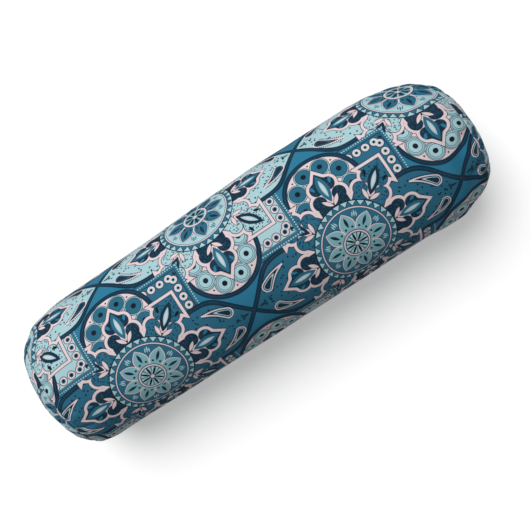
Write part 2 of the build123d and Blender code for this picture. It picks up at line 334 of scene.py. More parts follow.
def stuff(point):
    """Takes a point of an evenly stuffed bolster to where the real stuffing puts it."""
    girth, wander = stuffing_at(point.x)
    point.y = point.y * girth + wander
    point.z *= girth


for vert, (place, out) in zip(cover_form.verts, sewn):
    move = vert.co - place
    outward = move.dot(out)
    vert.co += out * (min(MOST_OUT, max(-MOST_IN, outward)) - outward)
    swell = SWELL_RIGHT if vert.co.x > 0 else SWELL_LEFT
    past_seam = max(0, abs(vert.co.x) - SEAM_X)
    vert.co.x -= math.copysign(past_seam * (1 - swell), vert.co.x)
    vert.co.x += RIGHT_SEAM_OUT * fade(vert.co.x, RIGHT_SEAM_FROM, SEAM_X)
    stuff(vert.co)
    about = place - Vector((0, 0, AXIS_HEIGHT))
    across = RADIUS * abs(turn_of(about) - ZIP_ANGLE)
    if abs(place.x) < SEAM_X - 0.001:
        ring = Vector((0, about.y, about.z)).normalized()
        straight = ring * RADIUS + Vector((place.x, 0, AXIS_HEIGHT))
        held = (1 - fade(across, *HELD_BESIDE)) * (1 - fade(abs(place.x), *HELD_ALONG))
        vert.co = vert.co.lerp(straight, held)
        beyond_zip = fade(abs(place.x), ZIP_GAP_END + 0.0005, ZIP_GAP_END + 0.008)
        vert.co -= ring * (LONG_SEAM_DEPTH * math.exp(-((across / LONG_SEAM_WIDTH) ** 2)) * beyond_zip)
    vert.co.z = (vert.co.z + math.hypot(vert.co.z, FLAT_ROUNDING)) / 2


# ---- Printed cotton ----
# Plain-woven cotton, roller-printed in seven inks with two rosettes that take turns in a half-drop repeat.
# Between them run ogee bands with paisley drops. The repeat fits twice round the bolster, so it meets at
# the zip. Inside the print all lengths are millimetres of flat cloth.

REPEAT_ALONG = 303.0
REPEAT_ROUND = 1000 * math.pi * RADIUS
ROSETTE_ALONG = -185.0  # a teal rosette's middle, along the bolster
ROSETTE_ROUND = -57.0  # and round it, from the top line
HALF_ALONG = REPEAT_ALONG / 2
HALF_ROUND = REPEAT_ROUND / 2
INK_EDGE = 0.35  # how far an ink bleeds

TEAL = (0.024, 0.130, 0.208, 1)
SEA = (0.024, 0.175, 0.290, 1)
NAVY = (0.007, 0.028, 0.054, 1)
SOOT = (0.006, 0.012, 0.020, 1)
PALE_SEA = (0.200, 0.410, 0.460, 1)
MINT = (0.365, 0.565, 0.605, 1)
BLUSH = (0.700, 0.572, 0.594, 1)


def adds_node(operation):
    """A method of a field that adds a Math node."""
    return lambda self, *others: calc(operation, self, *others)


class Field:
    """A value that varies over the cloth. Arithmetic on one adds nodes to the tree that is being drawn."""

    tree = None
    __add__ = adds_node("ADD")
    __sub__ = adds_node("SUBTRACT")
    __mul__ = adds_node("MULTIPLY")
    __truediv__ = adds_node("DIVIDE")
    __abs__ = adds_node("ABSOLUTE")
    __lt__ = adds_node("LESS_THAN")
    __gt__ = adds_node("GREATER_THAN")

    def __init__(self, socket):
        self.socket = socket

    def __rsub__(self, other):
        return calc("SUBTRACT", other, self)


def wire(value, socket):
    """Puts a field or a plain value on a node's socket."""
    if isinstance(value, Field):
        Field.tree.links.new(value.socket, socket)
    else:
        socket.default_value = value


def calc(operation, *values, clamp=False):
    node = Field.tree.nodes.new("ShaderNodeMath")
    node.operation = operation
    node.use_clamp = clamp
    for value, socket in zip(values, node.inputs):
        wire(value, socket)
    return Field(node.outputs[0])


def least(*values):
    return reduce(lambda low, value: calc("MINIMUM", low, value), values)


def most(*values):
    return reduce(lambda high, value: calc("MAXIMUM", high, value), values)


def far(x, y):
    """Distance from the point that x and y are measured from."""
    return calc("SQRT", calc("MULTIPLY_ADD", x, x, y * y))


def folded(value, width):
    """The value brought into one repeat of that width, from minus half of it to plus half."""
    return calc("WRAP", value, width / 2, -width / 2)


def leaf(along, across, middle, half_length, half_width):
    """Distance-like value for a pointed leaf lying along an axis: negative inside."""
    bow = (along - middle) / half_length
    return calc("MULTIPLY_ADD", bow * bow, half_width, across - half_width)


def inside(distance, edge=INK_EDGE):
    """1 inside a shape, 0 outside, with the ink's small bleed between."""
    return calc("MULTIPLY_ADD", distance, -1 / edge, 0.5, clamp=True)


def choose(which, zero, one):
    """One value where which is 0 and another where it is 1."""
    node = Field.tree.nodes.new("ShaderNodeMix")
    for value, socket in zip((which, zero, one), (node.inputs[0], node.inputs[2], node.inputs[3])):
        wire(value, socket)
    return Field(node.outputs[0])


def ink(under, over, where):
    """Prints one colour over another where the mask says."""
    node = Field.tree.nodes.new("ShaderNodeMix")
    node.data_type = "RGBA"
    for value, socket in zip((where, under, over), (node.inputs[0], node.inputs[6], node.inputs[7])):
        wire(value, socket)
    return Field(node.outputs[2])


def printed(cloth, *layers, edge=INK_EDGE):
    """The cloth with inks printed over it in turn, each inside its own shape."""
    for colour, shape in layers:
        cloth = ink(cloth, colour, inside(shape, edge))
    return cloth


def texture(kind, place, output="Fac", settings=(), **sockets):
    """One output of a texture node, with its settings, and its values by socket name."""
    node = Field.tree.nodes.new("ShaderNodeTex" + kind)
    for label, value in settings:
        setattr(node, label, value)
    wire(place, node.inputs["Vector"])
    for label, value in sockets.items():
        wire(value, node.inputs[label])
    return Field(node.outputs[output])


def new_group(name, inputs, outputs):
    """A shader node group with named sockets, made the tree that fields are drawn in."""
    tree = bpy.data.node_groups.new(name, "ShaderNodeTree")
    for label, kind, value in inputs:
        socket = tree.interface.new_socket(label, in_out="INPUT", socket_type=kind)
        if value is not None:
            socket.default_value = value
    for label, kind in outputs:
        tree.interface.new_socket(label, in_out="OUTPUT", socket_type=kind)
    Field.tree = tree
    start = tree.nodes.new("NodeGroupInput")
    return tree, [Field(socket) for socket in start.outputs[:-1]]


def end_group(*fields):
    """Joins the finished fields to the group's outputs."""
    end = Field.tree.nodes.new("NodeGroupOutput")
    for field, socket in zip(fields, end.inputs):
        wire(field, socket)


print_group, (place,) = new_group(
    "cotton_print",
    [("Cloth", "NodeSocketVector", None)],
    [("Color", "NodeSocketColor")],
)
parts = print_group.nodes.new("ShaderNodeSeparateXYZ")
wire(place, parts.inputs[0])
along = Field(parts.outputs[0]) * 1000
around = Field(parts.outputs[1]) * 1000

# Which rosette a point belongs to: a teal one, or a mint one half a repeat away both ways. Each keeps its own
# almond, and its right side laps over the left side of the next.
LAP_LEFT = -50.0
LAP_RIGHT = HALF_ALONG + LAP_LEFT
ALMOND_HEIGHT = 45.0
ALMOND_SLOPE = 1.1
BAND = 6.4  # width of the band round each almond
DASH_PITCH = 2.2  # of the fine dashes along the bands
FLAT = [("voronoi_dimensions", "2D")]


def almond(x, y):
    """Distance to the edge of a rosette's almond, negative inside."""
    slant = (y - (HALF_ALONG - abs(x)) * ALMOND_SLOPE) / math.hypot(1, ALMOND_SLOPE)
    return calc("SMOOTH_MAX", slant, y - ALMOND_HEIGHT, 20)


teal_x = folded(along - ROSETTE_ALONG, REPEAT_ALONG)
teal_y = abs(folded(around - ROSETTE_ROUND, REPEAT_ROUND))
mint_x = calc("MULTIPLY_ADD", calc("SIGN", teal_x), -HALF_ALONG, teal_x)
mint_y = HALF_ROUND - teal_y
teal_almond = almond(teal_x, teal_y)
mint_almond = almond(mint_x, mint_y)
lapped = (teal_x > LAP_LEFT) * (teal_x < LAP_RIGHT) * (mint_almond > BAND / 2)
teal_own = most(teal_almond < BAND / 2, lapped)
x = choose(teal_own, mint_x, teal_x)
y = choose(teal_own, mint_y, teal_y)
rim = choose(teal_own, mint_almond, teal_almond)
ground = ink(MINT, TEAL, teal_own)
figure = ink(TEAL, MINT, teal_own)

speck = texture("Voronoi", place, "Distance", FLAT, Scale=240) < 0.25
sprinkle = texture("Voronoi", place, "Distance", FLAT, Scale=118) < 0.15

# A mitred corner frame on the rosette's right side: a string of pearls between two lines, and a dotted edge.
# Places in it are distances from the rosette's middle to the side, and up from FRAME_LIFT above it.
FRAME_LIFT = 7.0
FRAME_EDGE = 104.0
FRAME_LINE = 95.5
FRAME_FROM = 30.0  # where its two legs start
PEARLS_AT = 88.5
PEARLS_FROM = 38.0
PEARL_PITCH = 12.5
DOTS_AT = 99.8
DOT_PITCH = 3.4

reach = most(x, y - FRAME_LIFT)
leg = least(x, y - FRAME_LIFT)
off_leg = FRAME_FROM - leg
pearl = far(folded(leg - 46, PEARL_PITCH), reach - PEARLS_AT)
pearl = most(pearl, PEARLS_FROM - leg)
dots = far(folded(leg, DOT_PITCH), reach - DOTS_AT) - 0.95
cloth = printed(
    SEA,
    (ground, most(reach - FRAME_EDGE, off_leg)),
    (NAVY, most(abs(reach - FRAME_EDGE) - 0.7, off_leg)),
    (NAVY, most(abs(reach - FRAME_LINE) - 0.5, off_leg)),
    (NAVY, pearl - 5.9),
    (BLUSH, pearl - 5.0),
    (figure, pearl - 3.0),
    (SOOT, pearl - 1.8),
    (TEAL, most(abs(reach - DOTS_AT) - 3.6, off_leg)),
    (MINT, most(dots, off_leg)),
    (NAVY, far(x - 93, y - 93 - FRAME_LIFT / 2) - 2.2),
)

# Almond: its ground, its band, a paisley drop above and below, and a small fleur near its point.
DROP_TAIL = Vector((93.0, 31.5))
DROP_HEAD = Vector((122.0, 17.0))
DROP_BEND = 2.6
DROP_TEETH = 13
TAIL_RADIUS = 1.0
HEAD_RADIUS = 7.4

side_x = abs(x)
cloth = printed(cloth, (ground, rim))
cloth = ink(cloth, NAVY, sprinkle * inside(rim + 7))
cloth = printed(cloth, (NAVY, abs(rim) - BAND / 2))
cloth = ink(cloth, TEAL, inside(most(abs(rim) - 0.35, folded(side_x, DASH_PITCH) - 0.2)) * 0.6)
drop = DROP_HEAD - DROP_TAIL
from_tail_x = side_x - DROP_TAIL.x
from_tail_y = y - DROP_TAIL.y
down_drop = (from_tail_x * drop.x + from_tail_y * drop.y) / drop.length_squared
down_drop = calc("ADD", down_drop, 0, clamp=True)
bent = calc("SINE", down_drop * math.pi) * DROP_BEND
paisley = far(from_tail_x - down_drop * drop.x, from_tail_y - down_drop * drop.y - bent)
paisley = paisley - down_drop * (HEAD_RADIUS - TAIL_RADIUS) - TAIL_RADIUS
fleur = least(
    leaf(side_x, y, 138, 6.0, 1.7),
    far((side_x - 134.5) * 0.8, y - 3.0) - 1.4,
    far(side_x - 127, y) - 1.9,
)
cloth = printed(
    cloth,
    (SOOT, most(paisley - 1.9, folded(down_drop * DROP_TEETH + 0.25, 1) * 6)),
    (BLUSH, paisley),
    (NAVY, paisley + 1.5),
    (figure, abs(paisley + 3.2) - 0.45),
    (NAVY, fleur),
)

# Medallion, above and below the rosette: a navy ring, a blush crescent and roundels.
MEDALLION_UP = 75.0
MEDALLION_RADIUS = 53.0
DISC_TURN = math.radians(41)
DISCS_OUT = 34.0
DOTS_OUT = 42.2

up = y - MEDALLION_UP
out = far(x, up)
turn = calc("ARCTAN2", side_x, up)
cloth = printed(cloth, (NAVY, out - MEDALLION_RADIUS))
cloth = ink(cloth, TEAL, inside(most(abs(out - 49.9) - 0.35, folded(turn * 50, DASH_PITCH) - 0.2)) * 0.6)
turned = folded(turn - DISC_TURN / 2, DISC_TURN)
disc = far(out * calc("SINE", turned), out * calc("COSINE", turned) - DISCS_OUT)
turned = folded(turn, DISC_TURN)
dot = far(out * calc("SINE", turned), out * calc("COSINE", turned) - DOTS_OUT)
cloth = printed(
    cloth,
    (BLUSH, out - 46.6),
    (NAVY, disc - 12.6),
    (MINT, disc - 11.8),
    (NAVY, disc - 10.9),
    (ground, disc - 10.2),
    (TEAL, abs(disc - 8.4) - 0.4),
    (SOOT, disc - 3.4),
    (SOOT, dot - 1.2),
)

# The rosette's eight outer petals, navy along the bolster and round it, and patterned between. p runs out
# along a petal's own middle line, and q is the distance from that line.
EIGHTH = math.pi / 4
radius = far(x, y)
angle = calc("ARCTAN2", y, x)
petal = calc("ROUND", angle / EIGHTH)
slanting = calc("MODULO", petal, 2)
from_petal = angle - petal * EIGHTH
p = radius * calc("COSINE", from_petal)
q = abs(radius * calc("SINE", from_petal))
lobes = least(
    far(p - 66, q - 13.5) - 12.8,
    far(p - 83, q - 8.5) - 12.2,
    most(q - 24, p - 63),
)
tip = (p - 109 - slanting * 5) * (slanting * 0.119 + 0.588) + q * (slanting * -0.102 + 0.809)
edge = calc("SMOOTH_MIN", lobes, most(tip, 84 - p), 3)
leaf_ink = ink(TEAL, NAVY, slanting)
cloth = printed(
    cloth,
    (NAVY, edge - 0.8),
    (BLUSH, edge),
    (ink(NAVY, ground, slanting), edge + 3.8),
    (NAVY, most(abs(edge + 4.0) - 0.45, 0.5 - slanting)),
)
cloth = ink(cloth, leaf_ink, speck * inside(edge + 5.2) * (slanting * 0.5 + 0.35))
blade = leaf(p, q, 80, 19, 7.0)
leaflet_p = (p - 55) * 0.72 + q * 0.69
leaflet_q = abs(q * 0.72 - (p - 55) * 0.69)
leaflet = leaf(leaflet_p, leaflet_q, 8.5, 7.5, 2.3)
fleck_q = abs((q - 12.5) * 0.9 - (p - 86) * 0.4)
fleck = leaf((p - 86) * 0.9 + (q - 12.5) * 0.4, fleck_q, 0, 4.6, 1.9)
cloth = printed(
    cloth,
    (leaf_ink, blade),
    (MINT, blade + 4.2),
    (BLUSH, blade + 6.0),
    (SOOT, leaflet - 0.7),
    (BLUSH, leaflet),
    (ink(SEA, SOOT, slanting), fleck),
)

# Collar of small triangles, then the rosette's heart: eight pointed petals, sprigs and a spoked disc.
COLLAR_RADIUS = 54.0
HEART_RADIUS = 44.2
DISC_RADIUS = 15.6

cloth = printed(cloth, (SOOT, radius - COLLAR_RADIUS - 0.8), (NAVY, radius - COLLAR_RADIUS))
tooth = abs(folded(angle, math.pi / 16)) * (32 / math.pi)
cloth = printed(
    cloth,
    (MINT, most((47.6 - radius) / 7 + tooth, (radius - 53.4) / 7)),
    (TEAL, most((radius - 46) / 7 - tooth, (46.8 - radius) / 7)),
    edge=0.08,
)
heart = leaf(p, q, 26.5, 15.5, 10.2)
sprig_turn = EIGHTH / 2 - abs(from_petal)
sprig_p = radius * calc("COSINE", sprig_turn)
sprig_q = radius * abs(calc("SINE", sprig_turn))
middle_sprig = leaf(sprig_p, sprig_q, 38.5, 4.2, 0.9)
side_sprig = leaf(sprig_p + sprig_q, abs(sprig_q - 2.6), 40, 3.2, 0.8)
cloth = printed(
    cloth,
    (BLUSH, radius - HEART_RADIUS - 2.0),
    (NAVY, radius - HEART_RADIUS - 0.7),
    (ground, radius - HEART_RADIUS),
    (SOOT, heart - 0.6),
    (BLUSH, heart),
    (ink(TEAL, PALE_SEA, teal_own), heart + 1.1),
    (NAVY, leaf(p, q, 30, 7, 2.0)),
    (NAVY, far(p - 22.5, q - 4.6) - 1.5),
    (figure, least(middle_sprig, side_sprig)),
    (SOOT, radius - DISC_RADIUS - 2.8),
    (BLUSH, radius - DISC_RADIUS - 1.8),
    (ground, radius - DISC_RADIUS),
)
wedge = folded(angle - EIGHTH / 4, EIGHTH / 2)
cloth = printed(cloth, (figure, most(abs(wedge) - 0.13, radius - 14.2, 4 - radius)), edge=0.05)
cloth = printed(cloth, (SOOT, leaf(p, q, 9, 7, 1.5)), (BLUSH, radius - 2.6))
end_group(cloth)


# Weave: threads over and under one another at a given pitch, none quite even. It gives the height of the
# threads and a slower shade that follows how the cloth took its colour.
weave_group, (place, pitch, unevenness) = new_group(
    "weave",
    [
        ("Cloth", "NodeSocketVector", None),
        ("Pitch", "NodeSocketFloat", 0.0005),
        ("Unevenness", "NodeSocketFloat", 0.3),
    ],
    [("Height", "NodeSocketFloat"), ("Shade", "NodeSocketFloat")],
)
parts = weave_group.nodes.new("ShaderNodeSeparateXYZ")
wire(place, parts.inputs[0])
warp = calc("SINE", Field(parts.outputs[0]) / pitch * math.pi)
weft = calc("SINE", Field(parts.outputs[1]) / pitch * math.pi)
crossing = warp * weft
threads = most(abs(warp) * (crossing + 1), abs(weft) * (1 - crossing)) * 0.5
slubs = texture("Noise", place, Scale=calc("DIVIDE", 0.3, pitch))
end_group(choose(unevenness, threads, slubs), texture("Noise", place, Scale=34, Detail=5))


def new_finish(name, **plain):
    """A material and its shader, with the shader's plain values given by socket name."""
    material = bpy.data.materials.new(name)
    material.use_nodes = True
    shader = material.node_tree.nodes["Principled BSDF"]
    for label, value in plain.items():
        shader.inputs[label.replace("_", " ")].default_value = value
    Field.tree = material.node_tree
    return material, shader


def on_cloth():
    """Where a point lies on the flat cloth, from the piece's own map."""
    node = Field.tree.nodes.new("ShaderNodeUVMap")
    node.uv_map = "cloth"
    return Field(node.outputs[0])


def on_piece(turn=(0, 0, 0)):
    """Where a point lies on the object, turned so that a pattern follows the piece."""
    source = Field.tree.nodes.new("ShaderNodeTexCoord")
    turned = Field.tree.nodes.new("ShaderNodeMapping")
    turned.inputs["Rotation"].default_value = turn
    Field.tree.links.new(source.outputs["Object"], turned.inputs["Vector"])
    return Field(turned.outputs[0])


def effect(group, *values):
    """Places a group in the material and gives its outputs."""
    node = Field.tree.nodes.new("ShaderNodeGroup")
    node.node_tree = group
    for value, socket in zip(values, node.inputs):
        wire(value, socket)
    return [Field(socket) for socket in node.outputs]


def lay_on(shader, colour, roughness, height, depth):
    """Feeds a colour, a roughness and a height, as deep as given in metres, to the shader."""
    wire(colour, shader.inputs["Base Color"])
    wire(roughness, shader.inputs["Roughness"])
    bump = Field.tree.nodes.new("ShaderNodeBump")
    bump.inputs["Distance"].default_value = depth
    wire(height, bump.inputs["Height"])
    Field.tree.links.new(bump.outputs[0], shader.inputs["Normal"])


# Painted shade: a dark colour laid into the gaps between the threads, where they dip.
SHADE_BETWEEN_THREADS = (0.010, 0.022, 0.034, 1)
RUBBED = (0.26, 0.34, 0.37, 1)  # where the cloth took its colour less well

cotton_finish, shader = new_finish("printed_cotton", Specular_IOR_Level=0.08)
flat_place = on_cloth()
(inks,) = effect(print_group, flat_place)
threads, shade = effect(weave_group, flat_place, 0.0009, 0.3)
# Painted shade between the threads, strongest where they dip lowest.
inks = ink(inks, SHADE_BETWEEN_THREADS, (1 - threads) * 0.14)
inks = ink(inks, RUBBED, calc("SUBTRACT", shade, 0.5, clamp=True) * 0.16)
lay_on(shader, inks, shade * 0.16 + 0.76, threads, 0.00022)


# ---- Cover panels ----
# Three pieces of the same printed cotton. Where two panels meet, and where the zip is let in, the cloth is
# turned under, so each panel's rim goes inwards over a fold.

CLOTH_THICKNESS = 0.0006
SEAM_TURNED_IN = 0.0025
ZIP_TURNED_IN = 0.0008


def verts_of(geom):
    """The vertices among what an operator gives back."""
    return [item for item in geom if isinstance(item, bmesh.types.BMVert)]


def add_piece(name, form, finish, body="bolster"):
    """Makes a bmesh a piece that rides on a body, smooth and with its finish on it."""
    for face in form.faces:
        face.smooth = True
    mesh = bpy.data.meshes.new(name)
    form.to_mesh(mesh)
    form.free()
    mesh.materials.append(finish)
    piece = bpy.data.objects.new(name, mesh)
    bpy.context.collection.objects.link(piece)
    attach(piece, body)
    return piece


def cut_panel(form, panel):
    """One panel of a sewn form: -1 and 1 are the ends, 0 goes round."""
    panel_form = form.copy()
    key = panel_form.faces.layers.int["panel"]
    others = [face for face in panel_form.faces if face[key] != panel]
    bmesh.ops.delete(panel_form, geom=others, context="FACES")
    return panel_form


def turn_rim_in(form, at_seam, at_zip):
    """Folds a panel's rim inwards."""
    rim = [edge for edge in form.edges if edge.is_boundary]
    folded_rim = bmesh.ops.extrude_edge_only(form, edges=rim)["geom"]
    for vert in verts_of(folded_rim):
        inward = Vector((0, -vert.co.y, AXIS_HEIGHT - vert.co.z)).normalized()
        vert.co += inward * (at_zip if abs(vert.co.x) < ZIP_GAP_END + 0.002 else at_seam)


def sew_panel(name, form, panel, finish, at_seam, at_zip, smoothing=0):
    """Cuts a panel of cloth with its rim turned in, smooths it and gives it its thickness."""
    panel_form = cut_panel(form, panel)
    turn_rim_in(panel_form, at_seam, at_zip)
    piece = add_piece(name, panel_form, finish)
    if smoothing:
        smoother = piece.modifiers.new("smooth", "SUBSURF")
        smoother.levels = smoother.render_levels = smoothing
    thick = piece.modifiers.new("cloth", "SOLIDIFY")
    thick.thickness = CLOTH_THICKNESS
    thick.offset = -1
    return piece


open_form = cover_form.copy()
gap_key = open_form.faces.layers.int["zip_gap"]
bmesh.ops.delete(open_form, geom=[face for face in open_form.faces if face[gap_key]], context="FACES")
for name, panel, node in (
    ("cover_body", 0, "cover_body_panel"),
    ("cover_end_left", -1, "cover_end_panel_left"),
    ("cover_end_right", 1, "cover_end_panel_right"),
):
    cover_panel = sew_panel(name, open_form, panel, cotton_finish, SEAM_TURNED_IN, ZIP_TURNED_IN, 1)
    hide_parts(node)
open_form.free()


# ---- Liner ----
# The inner case that holds the filling when the cover is off for the wash: unbleached calico, flecked with
# bits of cotton seed, cut and sewn like the cover but with no zip.

LINER_SET_IN = 0.0036
LINER_TURNED_IN = 0.001


def set_in(form, depth):
    """The same form, smaller all round."""
    inner = form.copy()
    shrink = (1 - depth / TIP_X, 1 - depth / RADIUS, 1 - depth / RADIUS)
    about_axis = Matrix.Translation((0, 0, -AXIS_HEIGHT))
    bmesh.ops.scale(inner, vec=shrink, space=about_axis, verts=inner.verts)
    return inner


calico_finish, shader = new_finish("calico")
flat_place = on_cloth()
threads, shade = effect(weave_group, flat_place, 0.0008, 0.4)
flecks = texture("Voronoi", flat_place, "Distance", Scale=210) < 0.06
calico = ink((0.68, 0.61, 0.47, 1), (0.80, 0.75, 0.64, 1), shade)
# Painted shade: darker between the threads, where they dip.
calico = ink(calico, (0.45, 0.38, 0.27, 1), (1 - threads) * 0.35)
calico = ink(calico, (0.16, 0.11, 0.06, 1), flecks * 0.7)
lay_on(shader, calico, shade * 0.1 + 0.84, threads, 0.0002)

liner_form = set_in(cover_form, LINER_SET_IN)
for name, panel, node in (
    ("liner_body", 0, "liner_body_panel"),
    ("liner_end_left", -1, "liner_end_panel_left"),
    ("liner_end_right", 1, "liner_end_panel_right"),
):
    liner_panel = sew_panel(name, liner_form, panel, calico_finish, LINER_TURNED_IN, LINER_TURNED_IN)
    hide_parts(node)
liner_form.free()


# ---- Wadding ----
# Needled polyester wadding between the core and the liner: one layer wrapped round the core, and a thicker
# pad at each end that makes the end swell.

WADDING_SET_IN = 0.0046
CORE_CLEARANCE = 0.0005
LEAST_LOFT = 0.003  # the wadding's thickness where the cover is drawn in furthest

core_low, core_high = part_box("foam_core")
CORE_RADIUS = (core_high.y - core_low.y) / 2
CORE_X = core_high.x

wadding_finish, shader = new_finish("wadding", Sheen_Weight=0.15)
fluff = texture("Noise", on_piece(), Scale=900, Detail=4, Distortion=1.5)
# Painted shade: grey in the hollows of the fluff, white on its tops.
lay_on(shader, ink((0.62, 0.63, 0.62, 1), (0.88, 0.88, 0.86, 1), fluff), fluff * 0.1 + 0.88, fluff, 0.0008)

wadding_form = set_in(cover_form, WADDING_SET_IN)
for name, panel, node in (
    ("wadding_wrap_layer", 0, "wadding_wrap"),
    ("wadding_end_left", -1, "end_wadding_left"),
    ("wadding_end_right", 1, "end_wadding_right"),
):
    panel_form = cut_panel(wadding_form, panel)
    pressed = bmesh.ops.extrude_face_region(panel_form, geom=panel_form.faces[:])["geom"]
    for vert in verts_of(pressed):
        if panel:
            vert.co.x = panel * (CORE_X + CORE_CLEARANCE)
            continue
        about = Vector((0, vert.co.y, vert.co.z - AXIS_HEIGHT))
        core_point = about.normalized() * (CORE_RADIUS + CORE_CLEARANCE)
        core_point += Vector((vert.co.x, 0, AXIS_HEIGHT))
        stuff(core_point)
        to_core = Vector((0, core_point.y, core_point.z - AXIS_HEIGHT)).length
        about *= min(to_core, about.length - LEAST_LOFT) / about.length
        vert.co.y, vert.co.z = about.y, about.z + AXIS_HEIGHT
    bmesh.ops.recalc_face_normals(panel_form, faces=panel_form.faces)
    wadding = add_piece(name, panel_form, wadding_finish)
    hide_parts(node)
wadding_form.free()


# ---- Foam core ----
# A cylinder of firm open-cell foam, cut from a block, which gives the bolster its shape. The drawn-in cover
# squeezes its ends a little. Its cut faces show the cells.

CORE_EDGE = 0.003
CORE_ROWS = 36

foam_finish, shader = new_finish("foam")
cells = texture("Voronoi", on_piece(), "Distance", Scale=620)
# Painted shade: dark in the hollow of each cell, pale on the cell walls.
lay_on(shader, ink((0.52, 0.42, 0.20, 1), (0.80, 0.71, 0.44, 1), cells), 0.95 - cells * 0.1, cells, 0.0006)


def bevel(form, geom, affect, width, segments):
    """Bevels the given vertices or edges with the editor's own defaults."""
    bmesh.ops.bevel(
        form,
        geom=geom,
        offset=width,
        affect=affect,
        segments=segments,
        profile=0.5,
        material=-1,
    )


core_form = bmesh.new()
core_step = (core_high.x - core_low.x) / CORE_ROWS
core_side = [(core_low.x + core_step * i, CORE_RADIUS) for i in range(CORE_ROWS + 1)]
core_row = draw_profile(core_form, [(core_low.x, 0), *core_side, (core_high.x, 0)])
bevel(core_form, [core_row[1], core_row[-2]], "VERTICES", CORE_EDGE, 3)
spin_round(core_form, 96)
bmesh.ops.translate(core_form, vec=(0, 0, AXIS_HEIGHT), verts=core_form.verts)
for vert in core_form.verts:
    stuff(vert.co)
bmesh.ops.recalc_face_normals(core_form, faces=core_form.faces)
core = add_piece("foam_core_block", core_form, foam_finish)
core.data.set_sharp_from_angle(angle=math.radians(35))
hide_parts("foam_core")


# ---- End-seam threads ----
# Each end panel is sewn in with a strong three-ply thread, which lies inside the fold of the seam and draws
# it up.

PLY_PITCH = 0.0012
THREAD_SET_IN = 0.0021
THREAD_RADIUS = 0.00028


def thread_finish(name, colour):
    """Three-ply thread, with its plies twisted along the stitching."""
    finish, shader = new_finish(name, Sheen_Weight=0.1)
    plies = texture(
        "Wave",
        on_piece(),
        settings=[("bands_direction", "DIAGONAL")],
        Scale=1 / PLY_PITCH / 3,
        Distortion=1.2,
    )
    # Painted shade: the thread's colour is darker in the grooves between the plies.
    groove_shade = tuple(0.55 * level for level in colour[:3]) + (1,)
    lay_on(shader, ink(groove_shade, colour, plies), plies * 0.15 + 0.55, plies, 0.00012)
    return finish


seam_thread_finish = thread_finish("seam_thread", (0.030, 0.085, 0.130, 1))
panel_of = cover_form.faces.layers.int["panel"]
for side, name in ((-1, "end_seam_thread_left"), (1, "end_seam_thread_right")):
    seam = [vert for vert in cover_form.verts if {face[panel_of] for face in vert.link_faces} == {0, side}]
    seam.sort(key=lambda vert: turn_of(vert.co - Vector((0, 0, AXIS_HEIGHT))))
    line = bpy.data.curves.new("seam_line", "CURVE")
    line.dimensions = "3D"
    line.bevel_depth = THREAD_RADIUS
    line.bevel_resolution = 1
    spline = line.splines.new("POLY")
    spline.points.add(len(seam) - 1)
    spline.use_cyclic_u = True
    for point, vert in zip(spline.points, seam):
        inward = Vector((0, -vert.co.y, AXIS_HEIGHT - vert.co.z)).normalized()
        point.co = (*(vert.co + inward * THREAD_SET_IN), 1)
    loop = bpy.data.objects.new("seam_line", line)
    thread_form = bmesh.new()
    thread_mesh = bpy.data.meshes.new_from_object(loop)
    thread_form.from_mesh(thread_mesh)
    bpy.data.meshes.remove(thread_mesh)
    bpy.data.objects.remove(loop)
    bpy.data.curves.remove(line)
    bmesh.ops.recalc_face_normals(thread_form, faces=thread_form.faces)
    thread = add_piece(name + "_drawn", thread_form, seam_thread_finish)
    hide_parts(name)


# ---- Care label ----
# A blank strip of white satin ribbon, sewn flat to the inside of the cover, which it follows.

LABEL_TURN = math.radians(70)
LABEL_SET_IN = 0.0014
LABEL_THICKNESS = 0.0003

label_finish, shader = new_finish("label_satin", Sheen_Weight=0.3, Sheen_Roughness=0.3)
threads, shade = effect(weave_group, on_piece(), 0.0003, 0.15)
# Painted shade: grey between the threads and white on their tops.
lay_on(shader, ink((0.70, 0.70, 0.68, 1), (0.84, 0.84, 0.82, 1), threads), shade * 0.1 + 0.35, threads, 0.00008)

label_low, label_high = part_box("care_label")
label_length = label_high.x - label_low.x
label_width = (label_high - label_low).yz.length
label_place = Matrix.Translation(((label_low.x + label_high.x) / 2, 0, 0))
label_size = Matrix.Diagonal((label_length, label_width, 1, 1))
label_form = bmesh.new()
bmesh.ops.create_grid(label_form, x_segments=16, y_segments=8, size=0.5, matrix=label_place @ label_size)
cover_tree = BVHTree.FromBMesh(cover_form)
for vert in label_form.verts:
    turn = LABEL_TURN + vert.co.y / RADIUS
    outward = Vector((0, math.sin(turn), math.cos(turn)))
    hit = cover_tree.ray_cast(Vector((vert.co.x, 0, AXIS_HEIGHT)), outward)[0]
    vert.co = hit - outward * LABEL_SET_IN
bmesh.ops.recalc_face_normals(label_form, faces=label_form.faces)
label = add_piece("care_label_ribbon", label_form, label_finish)
ribbon = label.modifiers.new("ribbon", "SOLIDIFY")
ribbon.thickness = LABEL_THICKNESS
ribbon.offset = 0
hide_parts("care_label")
cover_form.free()


# ---- Zip tapes ----
# Two woven polyester tapes, dyed to go with the cover and sewn behind the folded edges of the opening. They
# are ribbed along the bolster, and show for a few millimetres each side of the chain.

tape_finish, shader = new_finish("zip_tape", Sheen_Weight=0.1)
place = on_piece((math.pi / 2, 0, 0))
threads, shade = effect(weave_group, place, 0.0006, 0.15)
ribs = texture("Wave", place, settings=[("bands_direction", "Y")], Scale=260)
woven = threads * 0.5 + ribs * 0.5
# Painted shade: the tape is darker in the grooves between ribs and threads, lighter on their tops.
lay_on(shader, ink((0.010, 0.030, 0.048, 1), (0.022, 0.066, 0.100, 1), woven), shade * 0.15 + 0.68, woven, 0.00025)


def refinish(node, finish):
    """Puts a finish on a CAD node."""
    for material_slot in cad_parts[node].material_slots:
        material_slot.material = finish


refinish("zip_tape_upper", tape_finish)
refinish("zip_tape_lower", tape_finish)


